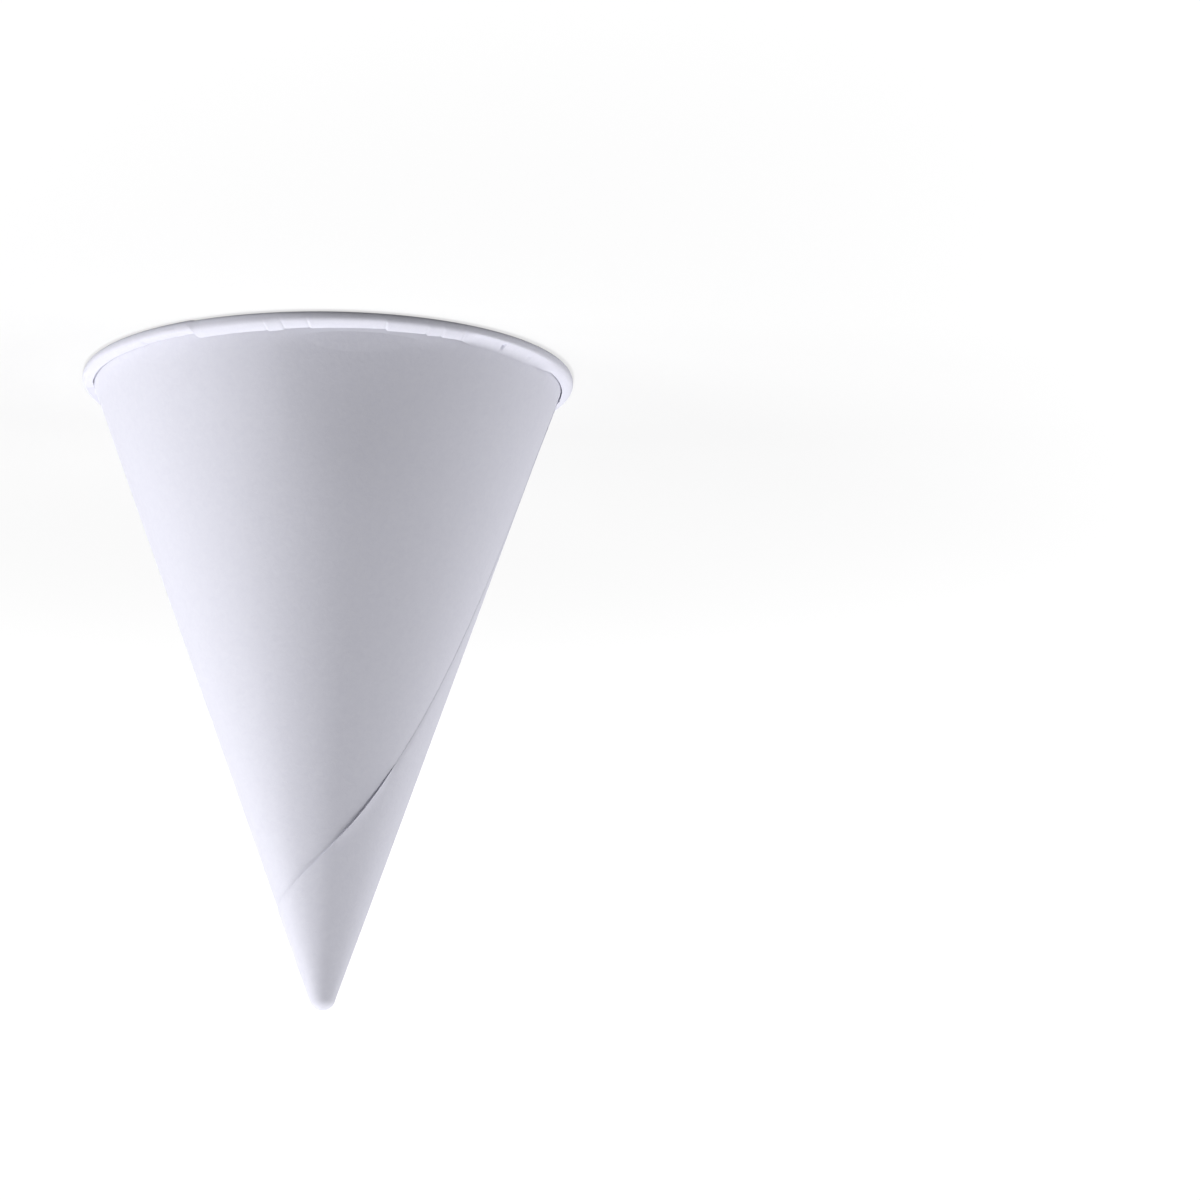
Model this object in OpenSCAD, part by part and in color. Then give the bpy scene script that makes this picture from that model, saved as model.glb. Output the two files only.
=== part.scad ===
// Cone paper cup, standing mouth down on its rolled rim with its tip up.
// One flat sheet is wound round a cone, glued where it overlaps itself and curled outward at the mouth.
// Lengths are in millimetres and angles in degrees.

/* [Cup] */
// Outside diameter of the rolled rim
rim_d = 72; // [60:0.5:95]
// Overall height, from the crest of the rim to the tip
cup_h = 93.5; // [75:0.5:125]
// Outside radius of the rounded tip
tip_r = 1.9; // [1.2:0.1:3]

/* [Sheet] */
// Thickness of one layer of paper
paper_t = 0.12; // [0.1:0.02:0.3]
// Distance from the apex of the cone to the straight outer edge of the flat sheet
edge_reach = 17.2; // [12:0.2:30]
// Azimuth of the sheet's outer corner, where that edge comes closest to the apex
corner_azimuth = 51; // [0:1:359]
// How far round the cup the full-height part of the sheet overlaps itself
rim_overlap = 231; // [30:1:300]

/* [Loose edge] */
// Distance along the straight outer edge from the outer corner to where it comes loose
loose_start = 21; // [5:1:25]
// Length of the loose stretch
loose_length = 14; // [8:1:45]
// How far the loose stretch stands off the cup at its middle
loose_lift = 0.3; // [0.1:0.05:0.8]
// How far behind the edge the paper has come away
loose_depth = 2; // [1:0.5:6]

/* [Rolled rim] */
// Width of the roll, from the inside of the wall to the outside of the roll
roll_w = 1.7; // [1.4:0.1:3]
// Angle round the roll, from its outermost line to where its top slants straight back to the wall
roll_lean = 45; // [30:1:60]
// Gap between the free edge of the roll and the wall
roll_gap = 0.4; // [0.1:0.05:0.5]

/* [Hidden] */
paper_color = "#f0f0f5";

// Evenly spaced columns of points round the cup
column_count = 96;
// Steps along the arcs of the section: the tip, the roll's inner quarter, and the rest of the roll
cap_steps = 3;
inner_steps = 4;
outer_steps = 8;
// Width of a cut paper edge, measured along the wall, and its angle round the cup
cut_w = 0.1;
cut_turn = 0.3;
// Length of wall over which the layers even out next to the tip
blend = 1;
// Rows across the loose strip, as shares of its depth behind the edge
loose_rows = [0, 0.5, 1];

// The cone that the sheet is wound on: its side touches the inside of the tip and the inside of the roll
tip_layers = 3;
former_tip_r = tip_r - tip_layers * paper_t;
roll_r = roll_w / 2;
tip_center = [0, cup_h - tip_r];
crest_center = [rim_d / 2 - roll_r, roll_r];
center_line = tip_center - crest_center;
half_angle = acos((former_tip_r + roll_r) / norm(center_line)) - atan2(center_line.y, -center_line.x);
uphill = [-sin(half_angle), cos(half_angle)];
outward = [cos(half_angle), sin(half_angle)];
apex = tip_center + [0, former_tip_r / sin(half_angle)];

// Slant distances from the apex, to where the wall leaves the tip and where it reaches the roll
slant_tip = former_tip_r / tan(half_angle);
slant_roll = (apex.y - crest_center.y + roll_r * outward.y) / uphill.y;

// The winding: a turn is an angle round the cup, counted back along the sheet from its outer corner
edge_end = slant_roll - cut_w;
edge_turn = acos(edge_reach / edge_end) / outward.y;
inner_end_turn = edge_turn + 360 + rim_overlap;
loose_from = atan(loose_start / edge_reach) / outward.y;
loose_to = atan((loose_start + loose_length) / edge_reach) / outward.y;

// Azimuth of a turn, from -180 to 180, and the other way round
function to_azimuth(turn) = (corner_azimuth - turn % 360 + 540) % 360 - 180;
function to_turn(azimuth) = (corner_azimuth - azimuth + 360) % 360;

// Slant distance of the sheet's straight outer edge at a turn, or of a plain line back to the corner past it
function edge_slant(turn) = turn < edge_turn
    ? edge_reach / cos(turn * outward.y)
    : edge_end + (edge_reach - edge_end) * (turn - edge_turn) / (360 - edge_turn);

// Height of a layer's outer face above the winding cone, which grows by one thickness in each turn
function layer_top(turn) = paper_t * (1 + (inner_end_turn - turn) / 360);

// Height of the inner face of the innermost layer at a turn
function wall_bottom(turn) = layer_top(turn + 360 * floor((inner_end_turn - turn) / 360)) - paper_t;

// Height of the outer face of the outermost layer on the rim side of the straight edge
function wall_top(turn) = layer_top(turn < edge_turn ? turn + 360 : turn);

// Height that the loose strip gains at a turn, at a share of its depth behind the edge
function loose_rise(turn, share) = loose_lift * (1 - share) ^ 2
    * sin(180 * min(1, max(0, (turn - loose_from) / (loose_to - loose_from))));
function strip_depth(turn) = turn > loose_from && turn < loose_to ? loose_depth : 0;

// Section points in the plane of radius and height
function on_wall(slant, height) = apex - slant * uphill + height * outward;
function arc(center, radius, angles) = [for (a = angles) center + radius * [cos(a), sin(a)]];
function span(from, to, steps) = [for (i = [0 : steps]) from + (to - from) * i / steps];
function after_first(list) = [for (i = [1 : len(list) - 1]) list[i]];
function backward(list) = [for (i = [len(list) - 1 : -1 : 0]) list[i]];

cap_angles = after_first(span(90, half_angle, cap_steps));
roll_angles = concat(
    span(180 + half_angle, 270, inner_steps),
    after_first(span(270, 360 + half_angle + roll_lean, outer_steps))
);

// Folds where the roll gave way: azimuth, and how far its free edge lies up the wall before and after it
roll_folds = [
    [-42, 0, -0.1],
    [to_azimuth(inner_end_turn), -0.1, 0.4],
    [-75.5, 0.3, 0.45],
    [-79.5, 0.35, 0.2],
    [-85.5, 0.1, 0.2],
    [-103.5, -0.05, 0.2],
    [-113.5, 0.1, 0.25],
    [-117.5, 0.1, 0.2],
    [-123, 0.15, 0.1]
];
// Angle round the cup that a fold takes
fold_turn = 0.4;
fold_points = [
    for (fold = roll_folds)
        each [[fold[0] + fold_turn / 2, fold[1]], [fold[0] - fold_turn / 2, fold[2]]]
];
// Azimuths away from the folds, and how far the free edge lies up the wall there
plain_points = [[180, 0.3], [150, 0], [0, 0], [-150, 0.4], [-180, 0.3]];
function roll_rise(turn) = lookup(to_azimuth(turn), concat(plain_points, fold_points));

// End of a face of the roll beside the wall, for a face and a wall at these heights above the winding cone
function roll_end(turn, height, top) =
    let (
        out = roll_gap + top - roll_r,
        along = (roll_r - height - out * cos(roll_lean)) / sin(roll_lean) + roll_rise(turn)
    )
    crest_center + out * outward + along * uphill;

// Section at a turn: down the inside, round the roll to its free edge, back along it and up the outside
function section(turn) =
    let (
        bottom = wall_bottom(turn),
        top = wall_top(turn),
        flap_top = layer_top(turn),
        edge = edge_slant(turn),
        depth = strip_depth(turn)
    )
    concat(
        arc(tip_center, former_tip_r, cap_angles),
        [on_wall(slant_tip + blend, bottom)],
        arc(crest_center, roll_r - bottom, roll_angles),
        [roll_end(turn, bottom, top), roll_end(turn, top, top)],
        arc(crest_center, roll_r - top, backward(roll_angles)),
        [on_wall(edge + cut_w / 2, top)],
        [for (s = backward(loose_rows)) on_wall(edge + cut_w / 2 - s * depth, top + loose_rise(turn, s))],
        [for (s = loose_rows) on_wall(edge - cut_w / 2 - s * depth, flap_top + loose_rise(turn, s))],
        [on_wall(slant_tip + blend, flap_top)],
        arc(tip_center, tip_r, backward(cap_angles))
    );

// Columns round the cup: even ones, and a pair on each fold and each paper edge that crosses the rim
function sorted(list) = len(list) < 2
    ? list
    : let (middle = list[floor(len(list) / 2)])
        concat(
            sorted([for (x = list) if (x < middle) x]),
            [middle],
            sorted([for (x = list) if (x > middle) x])
        );
inner_edge_turn = inner_end_turn % 360;
edge_columns = [
    0,
    360 - cut_turn,
    edge_turn - cut_turn / 2,
    edge_turn + cut_turn / 2,
    inner_edge_turn - cut_turn / 2,
    inner_edge_turn + cut_turn / 2
];
function apart(list, others) = [for (x = list) if (min([for (y = others) abs(x - y)]) > cut_turn) x];
fold_columns = apart([for (p = fold_points) to_turn(p[0])], edge_columns);
pairs = concat(edge_columns, fold_columns);
even_columns = apart(after_first(span(0, 360, column_count)), pairs);
turns = sorted(concat(pairs, even_columns));

// Turns the section through every column and closes the surface at the tip
module wound_sheet() {
    rows = len(section(0));
    columns = len(turns);
    inside_tip = columns * rows;
    outside_tip = inside_tip + 1;
    rings = [
        for (turn = turns)
            let (azimuth = corner_azimuth - turn)
            for (p = section(turn)) [p.x * cos(azimuth), p.x * sin(azimuth), p.y]
    ];
    tips = [
        [0, 0, tip_center.y + former_tip_r],
        [0, 0, cup_h]
    ];
    faces = [
        for (i = [0 : columns - 1])
            let (here = i * rows, next = ((i + 1) % columns) * rows)
            each concat(
                [[inside_tip, next, here]],
                [for (j = [0 : rows - 2]) [here + j, next + j, next + j + 1]],
                [for (j = [0 : rows - 2]) [here + j, next + j + 1, here + j + 1]],
                [[here + rows - 1, next + rows - 1, outside_tip]]
            )
    ];
    polyhedron(points = concat(rings, tips), faces = faces);
}

module cone_cup() {
    color(paper_color)
        wound_sheet();
}

cone_cup();
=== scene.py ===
import math

import bmesh
import bpy
import numpy as np
from mathutils import Matrix, Vector


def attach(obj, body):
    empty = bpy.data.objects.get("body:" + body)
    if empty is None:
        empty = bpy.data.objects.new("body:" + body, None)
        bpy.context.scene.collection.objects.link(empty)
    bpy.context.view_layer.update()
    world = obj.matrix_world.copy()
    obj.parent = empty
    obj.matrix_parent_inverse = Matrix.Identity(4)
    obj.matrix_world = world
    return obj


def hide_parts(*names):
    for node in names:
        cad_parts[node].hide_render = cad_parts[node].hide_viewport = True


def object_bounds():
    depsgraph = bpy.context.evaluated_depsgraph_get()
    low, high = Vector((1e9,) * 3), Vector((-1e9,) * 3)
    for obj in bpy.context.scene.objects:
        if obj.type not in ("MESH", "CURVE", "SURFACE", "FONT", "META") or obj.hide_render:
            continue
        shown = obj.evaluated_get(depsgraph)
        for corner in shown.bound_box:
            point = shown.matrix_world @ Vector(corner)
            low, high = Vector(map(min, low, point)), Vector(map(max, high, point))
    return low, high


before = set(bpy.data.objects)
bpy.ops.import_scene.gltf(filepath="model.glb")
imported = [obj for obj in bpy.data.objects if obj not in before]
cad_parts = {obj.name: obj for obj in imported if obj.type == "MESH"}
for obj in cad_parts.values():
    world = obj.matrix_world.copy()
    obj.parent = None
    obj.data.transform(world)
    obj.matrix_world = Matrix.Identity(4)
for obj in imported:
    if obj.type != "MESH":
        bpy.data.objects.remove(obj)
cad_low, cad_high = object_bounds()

# Cone paper cup, standing mouth down on its rolled rim with its tip up.
# Lengths are in millimetres where no other unit is named, and angles in degrees.
MM = 0.001

# Sizes of the cup, as in the part
CUP_HEIGHT = (cad_high.z - cad_low.z) / MM
RIM_RADIUS = 36.0
TIP_RADIUS = 1.9
PAPER = 0.12
TIP_LAYERS = 3
EDGE_REACH = 17.2
CORNER_AZIMUTH = 51.0
RIM_OVERLAP = 231.0
LOOSE_START = 21.0
LOOSE_LENGTH = 14.0
LOOSE_DEPTH = 2.0
ROLL_RADIUS = 0.85
ROLL_LEAN = 45.0
ROLL_GAP = 0.4
CUT = 0.1
CUT_TURN = 0.3
BLEND = 1.0

# The cone that the sheet is wound on
FORMER_TIP_RADIUS = TIP_RADIUS - TIP_LAYERS * PAPER
TIP_LEVEL = CUP_HEIGHT - TIP_RADIUS
CREST_RADIUS = RIM_RADIUS - ROLL_RADIUS
CENTER_DROP = TIP_LEVEL - ROLL_RADIUS
HALF_ANGLE = (
    math.acos((FORMER_TIP_RADIUS + ROLL_RADIUS) / math.hypot(CREST_RADIUS, CENTER_DROP))
    - math.atan2(CENTER_DROP, CREST_RADIUS)
)
SIN = math.sin(HALF_ANGLE)
COS = math.cos(HALF_ANGLE)
HALF_ANGLE_DEG = math.degrees(HALF_ANGLE)
APEX_LEVEL = TIP_LEVEL + FORMER_TIP_RADIUS / SIN
# Slant distances from the apex, to where the wall leaves the tip and where it reaches the roll
SLANT_TIP = FORMER_TIP_RADIUS / math.tan(HALF_ANGLE)
SLANT_ROLL = (APEX_LEVEL - ROLL_RADIUS + ROLL_RADIUS * SIN) / COS

# The winding: a turn is an angle round the cup, counted back along the sheet from its outer corner
EDGE_END = SLANT_ROLL - CUT
EDGE_TURN = math.degrees(math.acos(EDGE_REACH / EDGE_END)) / SIN
INNER_END_TURN = EDGE_TURN + 360 + RIM_OVERLAP
INNER_END_AZIMUTH = (CORNER_AZIMUTH - INNER_END_TURN + 180) % 360 - 180
LOOSE_FROM = math.degrees(math.atan(LOOSE_START / EDGE_REACH)) / SIN
LOOSE_TO = math.degrees(math.atan((LOOSE_START + LOOSE_LENGTH) / EDGE_REACH)) / SIN

# The seam's edge: how far it stands off where it is loose, and the power that bends it up
LOOSE_LIFT = 0.17
LIP_POWER = 3
# A fine crack all along it, and a small curl towards the tip
CRACK_LIFT = 0.004
CRACK_DEPTH = 1.1
CURL_LIFT = 0.07
CURL_TURN = 118.0
CURL_SPREAD = 22.0
# How far the paper is pressed thin towards the rim, and the angle over which that begins
PRESS_DEPTH = 0.09
PRESS_TURN = 6.0
# Angles over which all of it fades in at the sheet's outer corner and out at the rim
CORNER_FADE = 8.0
RIM_FADE = 6.0

# Folds where the roll gave way: azimuth, and how far its free edge lies up the wall before and after it
ROLL_FOLDS = (
    (-42.0, 0.0, -0.1),
    (INNER_END_AZIMUTH, -0.1, 0.4),
    (-75.5, 0.3, 0.45),
    (-79.5, 0.35, 0.2),
    (-85.5, 0.1, 0.2),
    (-103.5, -0.05, 0.2),
    (-113.5, 0.1, 0.25),
    (-117.5, 0.1, 0.2),
    (-123.0, 0.15, 0.1),
)
FOLD_TURN = 0.4
# Azimuths away from the folds, and how far the free edge lies up the wall there
PLAIN_EDGE = ((150.0, 0.0), (0.0, 0.0), (-150.0, 0.4), (-180.0, 0.3))
# How far a fold leans round the cup on its way up the roll, and the depth and width of the crease along it
FOLD_LEAN = 1.3
CREASE_DEPTH = 0.07
CREASE_TURN = 0.28

# Angle of the roll's crest, which is its lowest line
CREST_ANGLE = 270
# Reach up the roll: 0 up to this angle past its crest, this much where its slanting top starts,
# and 1 at its free edge
FRONT_SWEEP = 40.0
SHOULDER_REACH = 0.7
# Where the roll's top lies softly against the wall, by azimuth, and the gaps that its two faces leave there
ROLL_LAID = ((-158.0, 0.0), (-150.0, 1.0), (-126.0, 1.0), (-123.0, 0.0), (150.0, 0.0))
LAID_GAP = 0.03
HIDDEN_GAP = 0.01
# How much the top is curved there, how much sooner than elsewhere it starts to slant,
# and how far the roll's upper half is pressed flat
LAID_CURVE = 1.0
LAID_EARLY = 20.0
LAID_PRESS = 0.4
# How far the roll's free edge curls down, by azimuth, and the power that bends it
ROLL_DIP = (
    (28.0, 0.0), (-0.5, 0.0), (-2.0, 0.2),
    (INNER_END_AZIMUTH + 1.0, 0.2), (INNER_END_AZIMUTH - 1.0, 0.22),
    (-122.0, 0.22), (-126.0, 0.0), (-155.0, 0.0), (-160.0, 0.3), (150.0, 0.2),
)
DIP_POWER = 2
# How much further than its folds say the roll's top reaches up the wall, by azimuth
ROLL_EXTRA = (
    (0.0, 0.0), (-2.0, -0.1),
    (INNER_END_AZIMUTH + 1.0, -0.1), (INNER_END_AZIMUTH - 1.0, 0.42),
    (-122.0, 0.4), (-126.0, 0.55), (-146.0, 0.55), (-158.0, 0.0), (-180.0, 0.0),
)
# How far the roll's whole top is tilted down towards the wall, by azimuth
ROLL_TILT = (
    (45.0, 0.0), (28.0, 0.9), (3.0, 0.9), (-4.0, 0.0),
    (INNER_END_AZIMUTH + 1.0, 0.0), (INNER_END_AZIMUTH - 1.0, 0.12),
    (-122.0, 0.12), (-126.0, 0.0),
)
# Pits in the roll: azimuth, reach up the roll, depth, and width round the cup and up the roll
ROLL_PITS = (
    (-42.0, 1.0, 0.1, 0.35, 0.06),
    (-77.5, 0.6, 0.08, 1.6, 0.2),
    (-135.5, 0.82, 0.5, 0.42, 0.06),
    (-146.0, 0.83, 0.12, 0.35, 0.06),
)
# Angle to each side over which the sheet's inner end is pressed smooth in the roll
END_SPREAD = 0.7

# Slight waves of the thin wall: height, count round the cup, and in radians their start
# and their twist on the way from the apex to the rim
WALL_WAVES = (
    (0.10, 3, 0.8, 1.6),
    (0.06, 5, -1.1, -2.2),
    (0.03, 8, 2.0, 4.0),
)
# Slant distances over which the waves rise from the tip, and the length over which they fade at the roll
WAVE_START = 6.0
WAVE_FULL = 35.0
WAVE_FADE = 14.0

# A slight flat that the mouth of the cup was pressed into: its middle, half width and depth
FLAT_AZIMUTH = -97.5
FLAT_HALF = 19.5
FLAT_DEPTH = 0.4
# How softly its two sides run out into the round wall
FLAT_SOFT = 0.3
# Distances up the wall from the roll: where it begins, where it is full from and up to, and where it ends
FLAT_BEGIN = 0.4
FLAT_FULL_FROM = 2.6
FLAT_FULL_TO = 7.0
FLAT_REACH = 26.0

# How far the wall flares out beside the roll, by azimuth
WALL_FLARE = ((-14.0, 0.0), (-26.0, 0.11), (-60.0, 0.15), (-118.0, 0.15), (-125.0, 0.0))
# How far up the wall the flare keeps its size, and the length over which it then runs out
FLARE_REACH = 1.3
FLARE_LENGTH = 0.5

# Columns of points round the cup: even ones, and at each mark of the rim close ones at these angles from it
COLUMN_COUNT = 480
MARK_OFFSETS = np.arange(-1.8, 0.9, 0.15)
# Least angle between two columns
MARK_SPACING = 0.09
# Steps along the section
CAP_STEPS = 6
WALL_STEPS = 14
BODY_STEPS = 22
INNER_STEPS = 6
OUTER_STEPS = 18
SLANT_STEPS = 10
HIDDEN_STEPS = 6
# Power that draws the outer wall's points together towards the roll
BODY_POWER = 2
# Shares of the way from the roll to the seam at which there are more points, close to the seam
NEAR_SEAM = np.array([0.96, 0.985, 0.997])
# Points across the seam's lip, as shares of its depth behind the edge
LIP_SHARES = np.array([0.0, 0.25, 0.5, 0.75, 1.0])
# Points closer together than this many metres are one, and edges shorter than this are taken out
MERGE_DISTANCE = 2e-7
LEAST_EDGE = 2e-8
# Edges bent more than this angle stay sharp
SHARP_ANGLE = 38.0


def smooth_step(low, high, value):
    """Rises smoothly from 0 at low to 1 at high, and falls where high is the smaller one."""
    share = np.clip((np.asarray(value, dtype=float) - low) / (high - low), 0.0, 1.0)
    return share * share * (3.0 - 2.0 * share)


def bump(center, spread, value):
    """A round bump of height 1."""
    return np.exp(-(((value - center) / spread) ** 2))


def along_rim(points, azimuth):
    """Value at an azimuth on the line through points of azimuth and value."""
    places, values = zip(*sorted(points))
    return np.interp(azimuth, places, values, period=360)


def to_azimuth(turn):
    """Azimuth of a turn, from -180 to 180."""
    return (CORNER_AZIMUTH - turn + 180) % 360 - 180


def layer_top(turn):
    """Height of a layer's outer face above the winding cone."""
    return PAPER * (1 + (INNER_END_TURN - turn) / 360)


def wall_bottom(turn):
    """Height of the inner face of the innermost layer."""
    return layer_top(turn + 360 * np.floor((INNER_END_TURN - turn) / 360)) - PAPER


def wall_top(turn):
    """Height of the outer face on the rim side of the seam."""
    return layer_top(np.where(turn < EDGE_TURN, turn + 360, turn))


def roll_bottom(turn):
    """Height of the innermost face at the roll, where the sheet's inner end is pressed smooth."""
    end = INNER_END_TURN % 360
    return PAPER * ((end - turn) / 360 + smooth_step(end - END_SPREAD, end + END_SPREAD, turn))


def edge_slant(turn, inset):
    """Slant distance of a line that lies inset behind the sheet's straight edge."""
    on_sheet = np.minimum(turn, EDGE_TURN)
    straight = (EDGE_REACH - inset) / np.cos(np.radians(on_sheet * SIN))
    plain = EDGE_END + (EDGE_REACH - EDGE_END) * (turn - EDGE_TURN) / (360 - EDGE_TURN)
    return np.where(turn < EDGE_TURN, straight, plain)


def seam_lip(turn):
    """How far the seam's edge stands off at a turn, how deep that goes, and how far it is pressed thin."""
    ends = smooth_step(0, CORNER_FADE, turn) * smooth_step(EDGE_TURN, EDGE_TURN - RIM_FADE, turn)
    share = np.clip((turn - LOOSE_FROM) / (LOOSE_TO - LOOSE_FROM), 0, 1)
    loose = np.sqrt(np.clip(np.sin(np.pi * share), 0, 1))
    lift = LOOSE_LIFT * loose + CURL_LIFT * bump(CURL_TURN, CURL_SPREAD, turn) + CRACK_LIFT
    depth = CRACK_DEPTH + (LOOSE_DEPTH - CRACK_DEPTH) * loose
    press = PRESS_DEPTH * smooth_step(LOOSE_TO - PRESS_TURN, LOOSE_TO, turn)
    return lift * ends, depth * ends, press * ends


def wall_waves(azimuth, slant):
    """Height of the thin wall's slight waves, which fade out at the tip and the roll."""
    around = np.radians(azimuth)
    along = slant / SLANT_ROLL
    fade = smooth_step(WAVE_START, WAVE_FULL, slant) * smooth_step(SLANT_ROLL, SLANT_ROLL - WAVE_FADE, slant)
    height = 0.0
    for size, count, start, twist in WALL_WAVES:
        height = height + size * np.sin(count * around + start + twist * along)
    return height * fade


def mouth_flat(azimuth, slant):
    """Depth of the flat beside the mouth."""
    inside = 1 - ((azimuth - FLAT_AZIMUTH) / FLAT_HALF) ** 2
    across = (inside + np.sqrt(inside ** 2 + FLAT_SOFT ** 2)) / 2
    beside_mouth = smooth_step(SLANT_ROLL - FLAT_REACH, SLANT_ROLL - FLAT_FULL_TO, slant)
    beside_mouth *= smooth_step(SLANT_ROLL - FLAT_BEGIN, SLANT_ROLL - FLAT_FULL_FROM, slant)
    return FLAT_DEPTH * across * beside_mouth


def wall_flare(azimuth, slant):
    """How far the wall flares out beside the roll."""
    past_reach = np.clip(SLANT_ROLL - FLARE_REACH - slant, 0, None)
    return along_rim(WALL_FLARE, azimuth) * np.exp(-past_reach / FLARE_LENGTH)


def on_wall(azimuth, slant, height):
    """Section points on the wall, at a slant distance from the apex and a height above the winding cone."""
    uneven = wall_waves(azimuth, slant) - mouth_flat(azimuth, slant) + wall_flare(azimuth, slant)
    lifted = height + uneven
    across = slant * SIN + lifted * COS
    level = APEX_LEVEL - slant * COS + lifted * SIN
    return np.stack([across, level], axis=-1)


def arc(center_radius, center_level, radius, angles):
    """Section points on an arc."""
    turned = np.radians(angles)
    across = center_radius + radius * np.cos(turned)
    level = center_level + radius * np.sin(turned)
    return np.stack([across, level], axis=-1)


def edge_rise(azimuth, reach):
    """How far the folds shift the roll up the wall, growing with the reach up the roll."""
    points = list(PLAIN_EDGE)
    for place, before, after in ROLL_FOLDS:
        points += [(place + FOLD_TURN / 2, before), (place - FOLD_TURN / 2, after)]
    return reach * along_rim(points, azimuth - FOLD_LEAN * (1 - reach))


def roll_dents(azimuth, reach):
    """How far the creases and pits press the roll in."""
    dents = np.zeros(np.broadcast(azimuth, reach).shape)
    for fold in ROLL_FOLDS:
        dents += CREASE_DEPTH * reach * bump(fold[0] + FOLD_LEAN * (1 - reach), CREASE_TURN, azimuth)
    for place, height, depth, turn, spread in ROLL_PITS:
        dents += depth * bump(place, turn, azimuth) * bump(height, spread, reach)
    return dents


def roll_round(azimuth, radius, laid, angles):
    """The round part of a face of the roll, as distances from its middle: out from the wall and along it."""
    end_angle = 360 + HALF_ANGLE_DEG + ROLL_LEAN
    front_angle = CREST_ANGLE + FRONT_SWEEP
    sweep = 1 - LAID_EARLY * laid / (end_angle - CREST_ANGLE)
    swept = np.where(angles > CREST_ANGLE, CREST_ANGLE + (angles - CREST_ANGLE) * sweep, angles)
    local = np.radians(swept - HALF_ANGLE_DEG)
    reach = SHOULDER_REACH * np.clip((angles - front_angle) / (end_angle - front_angle), 0, 1)
    dented = radius - roll_dents(azimuth, reach)
    out = dented * np.cos(local)
    along = dented * np.sin(local)
    along = np.where(along > 0, along * (1 - LAID_PRESS * laid), along)
    return out, along + edge_rise(azimuth, reach)


def roll_slant(azimuth, radius, laid, top, gap, shares):
    """The slanting top of a face of the roll, from its round part to its free edge beside the wall."""
    lean = math.radians(ROLL_LEAN)
    start_lean = np.radians(ROLL_LEAN - LAID_EARLY * laid)
    start_out = radius * np.cos(start_lean)
    start_along = radius * np.sin(start_lean) * (1 - LAID_PRESS * laid)
    free_out = ROLL_GAP + top - ROLL_RADIUS
    free_along = (radius - free_out * math.cos(lean)) / math.sin(lean)
    laid_out = free_out + (gap - ROLL_GAP) * laid
    out = laid_out + (start_out - laid_out) * (1 - shares) ** (1 + LAID_CURVE * laid)
    along = free_along + (start_along - free_along) * (1 - shares)

    reach = SHOULDER_REACH + (1 - SHOULDER_REACH) * shares
    sunk = roll_dents(azimuth, reach) + along_rim(ROLL_DIP, azimuth) * shares ** DIP_POWER
    sunk = sunk + along_rim(ROLL_TILT, azimuth) * shares
    against_wall = gap + top + along_rim(WALL_FLARE, azimuth) - ROLL_RADIUS
    out = np.maximum(out - sunk * math.cos(lean), against_wall)
    along = along + edge_rise(azimuth, reach)
    along = along - sunk * math.sin(lean) + along_rim(ROLL_EXTRA, azimuth) * shares
    return out, along


def roll_face(azimuth, height, top, gap, angles, shares):
    """One face of the roll, at a height above the winding cone: round its crest, then back to the wall."""
    radius = ROLL_RADIUS - height
    laid = along_rim(ROLL_LAID, azimuth)
    round_out, round_along = roll_round(azimuth, radius, laid, angles)
    slant_out, slant_along = roll_slant(azimuth, radius, laid, top, gap, shares)
    out = np.concatenate([round_out, slant_out], axis=1)
    along = np.concatenate([round_along, slant_along], axis=1)
    across = CREST_RADIUS + out * COS - along * SIN
    level = ROLL_RADIUS + out * SIN + along * COS
    return np.stack([across, level], axis=-1)


def columns():
    """Turns round the cup at which the section is drawn, closer together at the marks of the rim."""
    edges = [360 - CUT_TURN]
    for turn in (EDGE_TURN, INNER_END_TURN % 360):
        edges += [turn - CUT_TURN / 2, turn + CUT_TURN / 2]
    marks = [fold[0] for fold in ROLL_FOLDS] + [pit[0] for pit in ROLL_PITS]
    near = [(CORNER_AZIMUTH - mark + offset) % 360 for mark in marks for offset in MARK_OFFSETS]
    even = np.linspace(0, 360, COLUMN_COUNT, endpoint=False)
    turns = list(edges)
    for turn in np.concatenate([[0.0], near, even]):
        if np.min(np.abs(np.array(turns) - turn)) > MARK_SPACING:
            turns.append(turn)
    return np.sort(turns)


def roll_points(turn, azimuth, top):
    """Section points round the roll's outer face to its free edge, and back along its inner face."""
    whole = np.ones_like(turn)
    start = 180 + HALF_ANGLE_DEG
    end = start + 180 + ROLL_LEAN
    angles = np.concatenate([
        np.linspace(start, CREST_ANGLE, INNER_STEPS, endpoint=False),
        np.linspace(CREST_ANGLE, end, OUTER_STEPS),
    ]) * whole
    shares = np.linspace(0, 1, SLANT_STEPS + 1)[1:] * whole
    outer_face = roll_face(azimuth, roll_bottom(turn), top, LAID_GAP, angles, shares)
    hidden_angles = np.linspace(start, end, 2 * HIDDEN_STEPS) * whole
    hidden_shares = np.linspace(0, 1, HIDDEN_STEPS + 1)[1:] * whole
    inner_face = roll_face(azimuth, top, top, HIDDEN_GAP, hidden_angles, hidden_shares)
    return [outer_face, inner_face[:, ::-1]]


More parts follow.
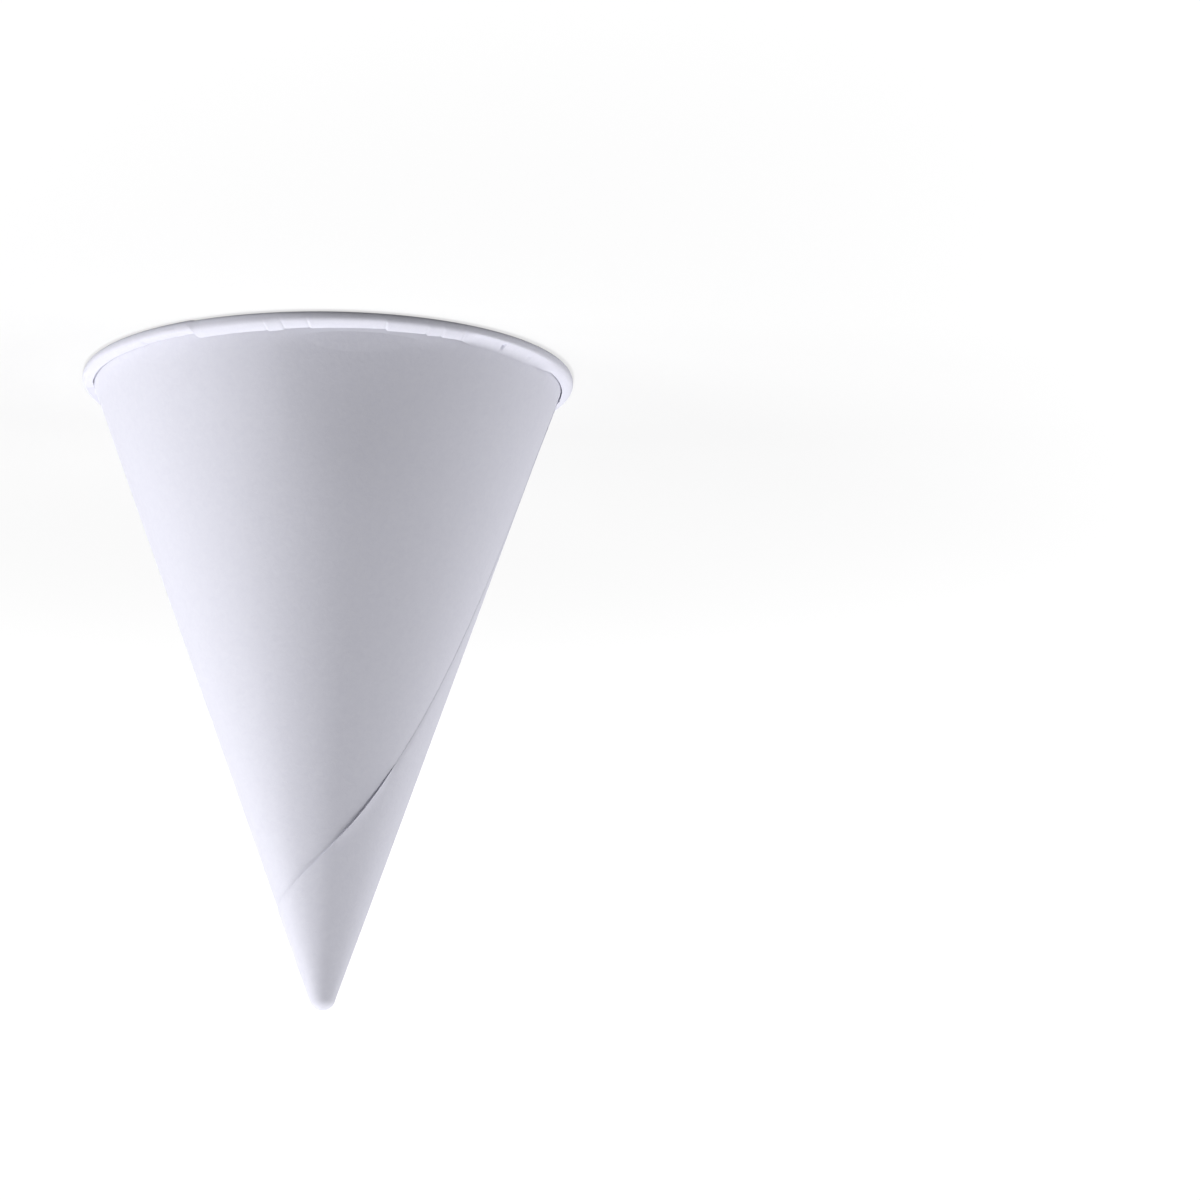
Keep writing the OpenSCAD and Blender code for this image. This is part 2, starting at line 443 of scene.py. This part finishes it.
def outside_points(turn, azimuth, top):
    """Section points up the outside: to the seam, in under its lip, out again, and on to the tip."""
    flap_top = layer_top(turn)
    lift, depth, press = seam_lip(turn)
    seam = edge_slant(turn, 0)
    body_share = np.linspace(0, 1, BODY_STEPS + 1)[1:] ** BODY_POWER
    body_share = np.sort(np.concatenate([body_share, NEAR_SEAM]))
    body_wall = on_wall(azimuth, SLANT_ROLL + (seam - SLANT_ROLL) * body_share, top)

    under_body = on_wall(azimuth, edge_slant(turn, depth * LIP_SHARES[1:]), top)
    back = LIP_SHARES[-2::-1]
    under_height = top + lift * (1 - back) ** LIP_POWER
    under_flap = on_wall(azimuth, edge_slant(turn, depth * back), under_height)
    lip_height = flap_top + (lift - press) * (1 - LIP_SHARES) ** LIP_POWER
    flap_lip = on_wall(azimuth, edge_slant(turn, depth * LIP_SHARES), lip_height)

    lip_end = edge_slant(turn, depth)
    flap_share = np.linspace(0, 1, WALL_STEPS)[1:]
    flap_wall = on_wall(azimuth, lip_end + (SLANT_TIP + BLEND - lip_end) * flap_share, flap_top)
    return [body_wall, under_body, under_flap, flap_lip, flap_wall]


def sections(turn):
    """Section points of every column: down the inside, round the roll, and up the outside."""
    turn = turn[:, None]
    azimuth = to_azimuth(turn)
    whole = np.ones_like(turn)
    top = wall_top(turn)
    cap = np.linspace(90, HALF_ANGLE_DEG, CAP_STEPS + 1)[1:] * whole
    inside_cap = arc(0, TIP_LEVEL, FORMER_TIP_RADIUS, cap)
    outside_cap = arc(0, TIP_LEVEL, TIP_RADIUS, cap[:, ::-1])
    inside_slant = np.linspace(SLANT_TIP + BLEND, SLANT_ROLL, WALL_STEPS, endpoint=False) * whole
    inside_wall = on_wall(azimuth, inside_slant, wall_bottom(turn))
    roll = roll_points(turn, azimuth, top)
    outside = outside_points(turn, azimuth, top)
    return np.concatenate([inside_cap, inside_wall, *roll, *outside, outside_cap], axis=1)


def cup_mesh():
    """One closed mesh of the wound sheet."""
    turn = columns()
    section = sections(turn)
    count, rows = section.shape[:2]
    azimuth = np.radians(CORNER_AZIMUTH - turn)[:, None]
    rings = np.stack([
        section[..., 0] * np.cos(azimuth),
        section[..., 0] * np.sin(azimuth),
        section[..., 1],
    ], axis=-1).reshape(-1, 3)
    tips = np.array([[0, 0, TIP_LEVEL + FORMER_TIP_RADIUS], [0, 0, CUP_HEIGHT]])
    points = np.concatenate([rings, tips]) * MM
    inside_tip = count * rows
    outside_tip = inside_tip + 1
    faces = []
    for i in range(count):
        here = i * rows
        after = (i + 1) % count * rows
        faces.append((inside_tip, here, after))
        for j in range(rows - 1):
            faces.append((here + j, here + j + 1, after + j + 1, after + j))
        faces.append((here + rows - 1, outside_tip, after + rows - 1))
    mesh = bpy.data.meshes.new("paper_cone")
    mesh.from_pydata(points.tolist(), [], faces)
    return mesh


def clean(mesh):
    """Merges the points that coincide where the seam has ended, and sets the shading."""
    work = bmesh.new()
    work.from_mesh(mesh)
    bmesh.ops.remove_doubles(work, verts=work.verts, dist=MERGE_DISTANCE)
    bmesh.ops.dissolve_degenerate(work, edges=work.edges, dist=LEAST_EDGE)
    bmesh.ops.recalc_face_normals(work, faces=work.faces)
    work.to_mesh(mesh)
    work.free()
    mesh.shade_smooth()
    mesh.set_sharp_from_angle(angle=math.radians(SHARP_ANGLE))


# Paper: the colours and the roughness between which it varies, and the part of a noise over which they change
PAPER_COLORS = ((0.785, 0.785, 0.88), (0.815, 0.815, 0.905))
PAPER_ROUGHNESS = (0.74, 0.88)
PAPER_SPECULAR = 0.25
RAMP_START = 0.3
RAMP_END = 0.7
# Noises of its faint mottle and its fine fibres, and the height of their relief in metres
MOTTLE = {"Scale": 1100, "Detail": 4, "Roughness": 0.6, "Distortion": 0.8}
FIBRE = {"Scale": 3200, "Detail": 3, "Roughness": 0.6, "Distortion": 2.0}
MOTTLE_RELIEF = 0.00004
FIBRE_RELIEF = 0.000015
RELIEF_STRENGTH = 0.6


def paper_material():
    """Uncoated white paper with fine fibres and a faint mottle."""
    material = bpy.data.materials.new("paper")
    material.use_nodes = True
    nodes = material.node_tree.nodes
    links = material.node_tree.links
    shader = nodes["Principled BSDF"]
    shader.inputs["Specular IOR Level"].default_value = PAPER_SPECULAR
    place = nodes.new("ShaderNodeTexCoord")

    def noise(settings):
        node = nodes.new("ShaderNodeTexNoise")
        for name, value in settings.items():
            node.inputs[name].default_value = value
        links.new(place.outputs["Object"], node.inputs["Vector"])
        return node.outputs["Fac"]

    def ramp(value, low, high):
        node = nodes.new("ShaderNodeValToRGB")
        node.color_ramp.elements[0].position = RAMP_START
        node.color_ramp.elements[0].color = (*low, 1)
        node.color_ramp.elements[1].position = RAMP_END
        node.color_ramp.elements[1].color = (*high, 1)
        links.new(value, node.inputs["Fac"])
        return node.outputs["Color"]

    mottle = noise(MOTTLE)
    fibre = noise(FIBRE)
    smooth, rough = PAPER_ROUGHNESS
    links.new(ramp(mottle, *PAPER_COLORS), shader.inputs["Base Color"])
    links.new(ramp(fibre, (smooth, smooth, smooth), (rough, rough, rough)), shader.inputs["Roughness"])
    relief = None
    for value, distance in ((mottle, MOTTLE_RELIEF), (fibre, FIBRE_RELIEF)):
        node = nodes.new("ShaderNodeBump")
        node.inputs["Strength"].default_value = RELIEF_STRENGTH
        node.inputs["Distance"].default_value = distance
        links.new(value, node.inputs["Height"])
        if relief:
            links.new(relief, node.inputs["Normal"])
        relief = node.outputs["Normal"]
    links.new(relief, shader.inputs["Normal"])
    return material


def build_cup():
    """The cup's visible piece, in place of its solid."""
    mesh = cup_mesh()
    clean(mesh)
    cup = bpy.data.objects.new("paper_cone", mesh)
    bpy.context.collection.objects.link(cup)
    mesh.materials.append(paper_material())
    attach(cup, "root")
    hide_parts("cone_cup")


# Camera: the photograph looks at the cup from the side of its tip, turned half round.
# Distances are in metres, the sensor is in millimetres, and pixels are those of the photograph.
PHOTO_SIZE = 1200
SENSOR = 36.0
TARGET = Vector((0, 0, 0.047))
TARGET_PIXEL = (325.6, 691.4)
PIXELS_PER_METRE = 6897
VIEW_DISTANCE = 0.7
VIEW_ELEVATION = math.radians(11.74)
VIEW_ROLL = math.radians(0.53)


def add_camera():
    """Looks from the photograph's angle, with the cup where the photograph has it."""
    forward = Vector((0, math.cos(VIEW_ELEVATION), -math.sin(VIEW_ELEVATION)))
    level_right = Vector((1, 0, 0))
    level_up = Vector((0, math.sin(VIEW_ELEVATION), math.cos(VIEW_ELEVATION)))
    image_right = -math.cos(VIEW_ROLL) * level_right - math.sin(VIEW_ROLL) * level_up
    image_up = math.sin(VIEW_ROLL) * level_right - math.cos(VIEW_ROLL) * level_up
    eye = TARGET - VIEW_DISTANCE * forward
    half = PHOTO_SIZE / 2
    aim = TARGET + (half - TARGET_PIXEL[0]) / PIXELS_PER_METRE * image_right
    aim += (TARGET_PIXEL[1] - half) / PIXELS_PER_METRE * image_up
    back = (eye - aim).normalized()
    right = image_up.cross(back).normalized()
    up = back.cross(right)
    data = bpy.data.cameras.new("camera")
    data.sensor_width = SENSOR
    data.lens = PIXELS_PER_METRE * VIEW_DISTANCE * SENSOR / PHOTO_SIZE
    camera = bpy.data.objects.new("camera", data)
    camera.matrix_world = Matrix((
        (right.x, up.x, back.x, eye.x),
        (right.y, up.y, back.y, eye.y),
        (right.z, up.z, back.z, eye.z),
        (0, 0, 0, 1),
    ))
    bpy.context.collection.objects.link(camera)
    bpy.context.scene.camera = camera


# Light and floor, in metres and watts
AMBIENT = 0.015
AMBIENT_COLOR = (0.95, 0.96, 1.0, 1)
WHITE = (1, 1, 1, 1)
FLOOR_SIZE = 12.0
FLOOR_GREY = 0.3
FLOOR_ROUGHNESS = 0.9
# How brightly the floor is seen to glow beside the cup, and the distances over which that rises to white
GLOW_NEAR = 0.66
GLOW_START = 0.06
GLOW_END = 0.45


def seen_directly(nodes, links):
    """A value of 1 for rays from the camera, a mirror or glass."""
    path = nodes.new("ShaderNodeLightPath")
    total = path.outputs["Is Camera Ray"]
    for name in ("Is Glossy Ray", "Is Transmission Ray"):
        node = nodes.new("ShaderNodeMath")
        node.operation = "MAXIMUM"
        links.new(total, node.inputs[0])
        links.new(path.outputs[name], node.inputs[1])
        total = node.outputs[0]
    return total


def add_world():
    """White where it is seen, and a low even light on the cup."""
    world = bpy.data.worlds.new("studio")
    bpy.context.scene.world = world
    world.use_nodes = True
    nodes = world.node_tree.nodes
    links = world.node_tree.links
    ambient = nodes["Background"]
    ambient.inputs["Color"].default_value = AMBIENT_COLOR
    ambient.inputs["Strength"].default_value = AMBIENT
    white = nodes.new("ShaderNodeBackground")
    white.inputs["Color"].default_value = WHITE
    mix = nodes.new("ShaderNodeMixShader")
    links.new(seen_directly(nodes, links), mix.inputs["Fac"])
    links.new(ambient.outputs[0], mix.inputs[1])
    links.new(white.outputs[0], mix.inputs[2])
    links.new(mix.outputs[0], nodes["World Output"].inputs["Surface"])


def floor_material():
    """Seen as white with the cup's shadow kept, and throws little light back."""
    material = bpy.data.materials.new("table")
    material.use_nodes = True
    nodes = material.node_tree.nodes
    links = material.node_tree.links
    shader = nodes["Principled BSDF"]
    shader.inputs["Base Color"].default_value = (FLOOR_GREY, FLOOR_GREY, FLOOR_GREY, 1)
    shader.inputs["Roughness"].default_value = FLOOR_ROUGHNESS
    shader.inputs["Specular IOR Level"].default_value = 0.0
    place = nodes.new("ShaderNodeTexCoord")
    distance = nodes.new("ShaderNodeVectorMath")
    distance.operation = "LENGTH"
    links.new(place.outputs["Object"], distance.inputs[0])
    rise = nodes.new("ShaderNodeMapRange")
    rise.interpolation_type = "SMOOTHSTEP"
    rise.inputs["From Min"].default_value = GLOW_START
    rise.inputs["From Max"].default_value = GLOW_END
    rise.inputs["To Min"].default_value = GLOW_NEAR
    rise.inputs["To Max"].default_value = 1.0
    links.new(distance.outputs["Value"], rise.inputs["Value"])
    glow = nodes.new("ShaderNodeEmission")
    links.new(rise.outputs["Result"], glow.inputs["Strength"])
    both = nodes.new("ShaderNodeAddShader")
    links.new(shader.outputs[0], both.inputs[0])
    links.new(glow.outputs[0], both.inputs[1])
    mix = nodes.new("ShaderNodeMixShader")
    links.new(seen_directly(nodes, links), mix.inputs["Fac"])
    links.new(shader.outputs[0], mix.inputs[1])
    links.new(both.outputs[0], mix.inputs[2])
    links.new(mix.outputs[0], nodes["Material Output"].inputs["Surface"])
    return material


def add_floor():
    """The plain table that the cup stands on."""
    half = FLOOR_SIZE / 2
    corners = [(-half, -half, 0), (half, -half, 0), (half, half, 0), (-half, half, 0)]
    mesh = bpy.data.meshes.new("floor")
    mesh.from_pydata(corners, [], [(0, 1, 2, 3)])
    floor = bpy.data.objects.new("floor", mesh)
    bpy.context.collection.objects.link(floor)
    mesh.materials.append(floor_material())


def add_lamp(name, azimuth, elevation, distance, size, power):
    """A soft square lamp that faces the middle of the cup."""
    data = bpy.data.lights.new(name, "AREA")
    data.shape = "SQUARE"
    data.size = size
    data.energy = power
    bearing = math.radians(azimuth)
    rise = math.radians(elevation)
    level = math.cos(rise)
    away = Vector((math.cos(bearing) * level, math.sin(bearing) * level, math.sin(rise)))
    lamp = bpy.data.objects.new(name, data)
    lamp.location = TARGET + distance * away
    lamp.rotation_mode = "QUATERNION"
    lamp.rotation_quaternion = away.to_track_quat("Z", "Y")
    lamp.visible_camera = False
    bpy.context.collection.objects.link(lamp)


bpy.context.scene.view_settings.view_transform = "Standard"
build_cup()
add_camera()
add_world()
add_floor()
add_lamp("key", azimuth=-5, elevation=7, distance=1.2, size=0.3, power=4.8)
add_lamp("front", azimuth=-34, elevation=20, distance=0.3, size=0.15, power=0.38)
add_lamp("fill", azimuth=-170, elevation=20, distance=0.3, size=0.15, power=0.36)
add_lamp("side", azimuth=-185, elevation=7, distance=1.2, size=0.3, power=1.8)
add_lamp("overhead", azimuth=-90, elevation=89, distance=0.12, size=0.15, power=0.024)
add_lamp("back", azimuth=60, elevation=76, distance=1.2, size=0.3, power=9.3)
